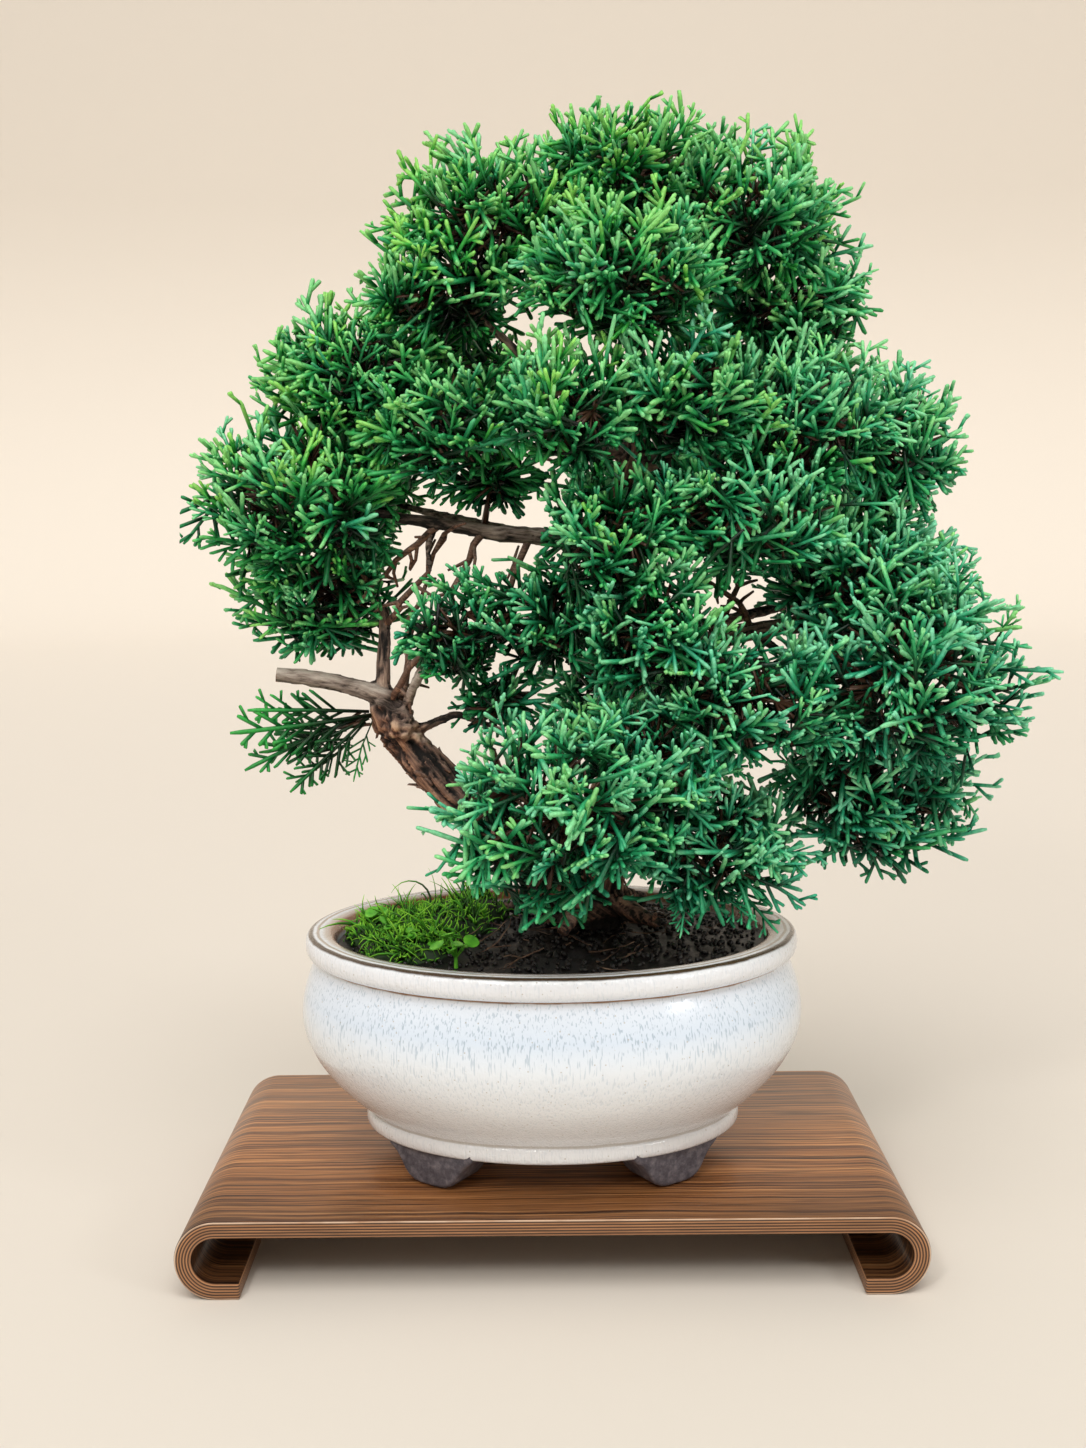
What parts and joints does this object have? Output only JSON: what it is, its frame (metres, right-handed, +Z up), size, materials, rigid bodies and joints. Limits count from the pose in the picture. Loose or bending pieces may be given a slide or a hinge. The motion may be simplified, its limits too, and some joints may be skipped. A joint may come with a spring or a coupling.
{
  "type": "kishu juniper bonsai in a glazed oval pot on a low wooden stand",
  "caption": "Kishu juniper bonsai with dense pads of scale-leaf shoots, in a glazed oval pot on a low bent-wood stand.",
  "frame": {"origin": "floor point under the middle of the whole object's box", "axes": "+Z up along the tree; -Y is the front, which shows the open left side and the bare stub; +X is to the right seen from the front"},
  "size_m": [0.2594, 0.1714, 0.3565],
  "materials": {
    "walnut_plywood": "oiled satin",
    "glazed_stoneware": "gloss glaze",
    "screen_plastic": "matte",
    "soil": "loose and damp",
    "moss": "soft matte",
    "seedling_leaf": "satin leaf",
    "juniper_bark": "rough bark",
    "juniper_foliage": "waxy scale leaf"
  },
  "bodies": {
    "root": {"stand": "walnut_plywood", "pot": "glazed_stoneware", "drain_screen_left": "screen_plastic", "drain_screen_right": "screen_plastic", "soil": "soil", "moss": "moss", "seedling": "seedling_leaf", "trunk": "juniper_bark", "foliage_apex": "juniper_foliage", "foliage_apex_left": "juniper_foliage", "foliage_apex_right": "juniper_foliage", "foliage_shoulder_right": "juniper_foliage", "foliage_apex_front": "juniper_foliage", "foliage_shoulder_left": "juniper_foliage", "foliage_high_left": "juniper_foliage", "foliage_high_left_front": "juniper_foliage", "foliage_far_left": "juniper_foliage", "foliage_far_left_under": "juniper_foliage", "foliage_high_front": "juniper_foliage", "foliage_high_front_right": "juniper_foliage", "foliage_high_right_front": "juniper_foliage", "foliage_high_right": "juniper_foliage", "foliage_middle_right_front": "juniper_foliage", "foliage_far_right_upper": "juniper_foliage", "foliage_far_right": "juniper_foliage", "foliage_far_right_hanging": "juniper_foliage", "foliage_middle_front": "juniper_foliage", "foliage_middle_left_front": "juniper_foliage", "foliage_low_front_upper": "juniper_foliage", "foliage_low_right_front": "juniper_foliage", "foliage_low_front": "juniper_foliage", "foliage_low_front_right": "juniper_foliage", "foliage_low_right": "juniper_foliage", "foliage_low_left_sprig": "juniper_foliage", "foliage_hanging_left_sprig": "juniper_foliage", "foliage_apex_back": "juniper_foliage", "foliage_high_right_back": "juniper_foliage", "foliage_high_left_back": "juniper_foliage", "foliage_middle_back": "juniper_foliage", "foliage_far_right_back": "juniper_foliage", "foliage_low_back": "juniper_foliage", "foliage_far_left_back": "juniper_foliage"}
  },
  "joints": []
}
